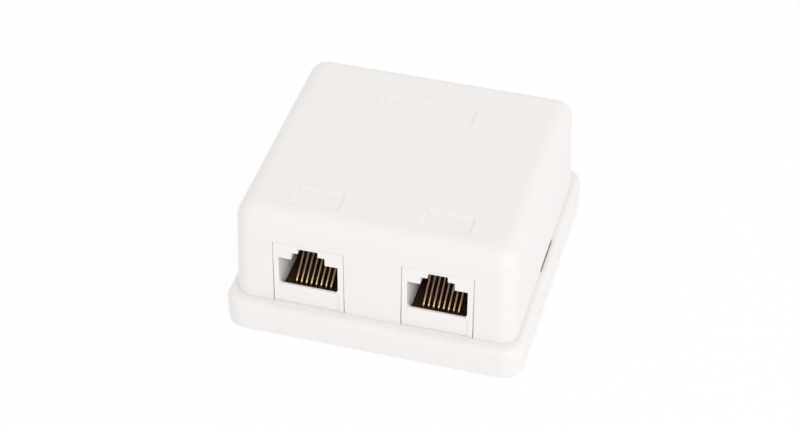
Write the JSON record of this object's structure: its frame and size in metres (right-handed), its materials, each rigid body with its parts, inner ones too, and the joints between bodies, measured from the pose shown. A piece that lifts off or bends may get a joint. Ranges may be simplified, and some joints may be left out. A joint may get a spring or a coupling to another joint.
{
  "type": "surface mount jack box",
  "caption": "Low white wall box with a clip-on cover, 8-position data sockets in its front wall, and punch-down blocks on a circuit board inside.",
  "frame": {"origin": "middle of the base's underside, which lies against the wall", "axes": "+Z away from the wall, -Y towards the sockets, +X along the front to the right"},
  "size_m": [0.0606, 0.0596, 0.0286],
  "materials": {
    "housing_white": "fine satin moulded surface",
    "socket_white": "smooth moulded surface",
    "insulator_black": "moulded, slightly glossy",
    "contact_gold": "gold-plated spring wire",
    "board_green": "solder resist",
    "block_white": "moulded",
    "blade_tin": "tin-plated bronze",
    "screw_steel": "zinc-plated"
  },
  "bodies": {
    "base_body": {"base": "housing_white", "circuit_board": "board_green", "board_screws": "screw_steel", "left_socket_housing": "socket_white", "left_contact_carrier": "insulator_black", "left_punch_down_block": "block_white", "left_contact_1": "contact_gold", "left_contact_2": "contact_gold", "left_contact_3": "contact_gold", "left_contact_4": "contact_gold", "left_contact_5": "contact_gold", "left_contact_6": "contact_gold", "left_contact_7": "contact_gold", "left_contact_8": "contact_gold", "left_blade_1": "blade_tin", "left_blade_2": "blade_tin", "left_blade_3": "blade_tin", "left_blade_4": "blade_tin", "left_blade_5": "blade_tin", "left_blade_6": "blade_tin", "left_blade_7": "blade_tin", "left_blade_8": "blade_tin", "right_socket_housing": "socket_white", "right_contact_carrier": "insulator_black", "right_punch_down_block": "block_white", "right_contact_1": "contact_gold", "right_contact_2": "contact_gold", "right_contact_3": "contact_gold", "right_contact_4": "contact_gold", "right_contact_5": "contact_gold", "right_contact_6": "contact_gold", "right_contact_7": "contact_gold", "right_contact_8": "contact_gold", "right_blade_1": "blade_tin", "right_blade_2": "blade_tin", "right_blade_3": "blade_tin", "right_blade_4": "blade_tin", "right_blade_5": "blade_tin", "right_blade_6": "blade_tin", "right_blade_7": "blade_tin", "right_blade_8": "blade_tin"},
    "cover_body": {"cover": "housing_white"}
  },
  "joints": [
    {"name": "cover_lift", "type": "slide", "parent": "base_body", "child": "cover_body", "axis": [0, 0, 1], "range_m": [0, 0.035]}
  ]
}
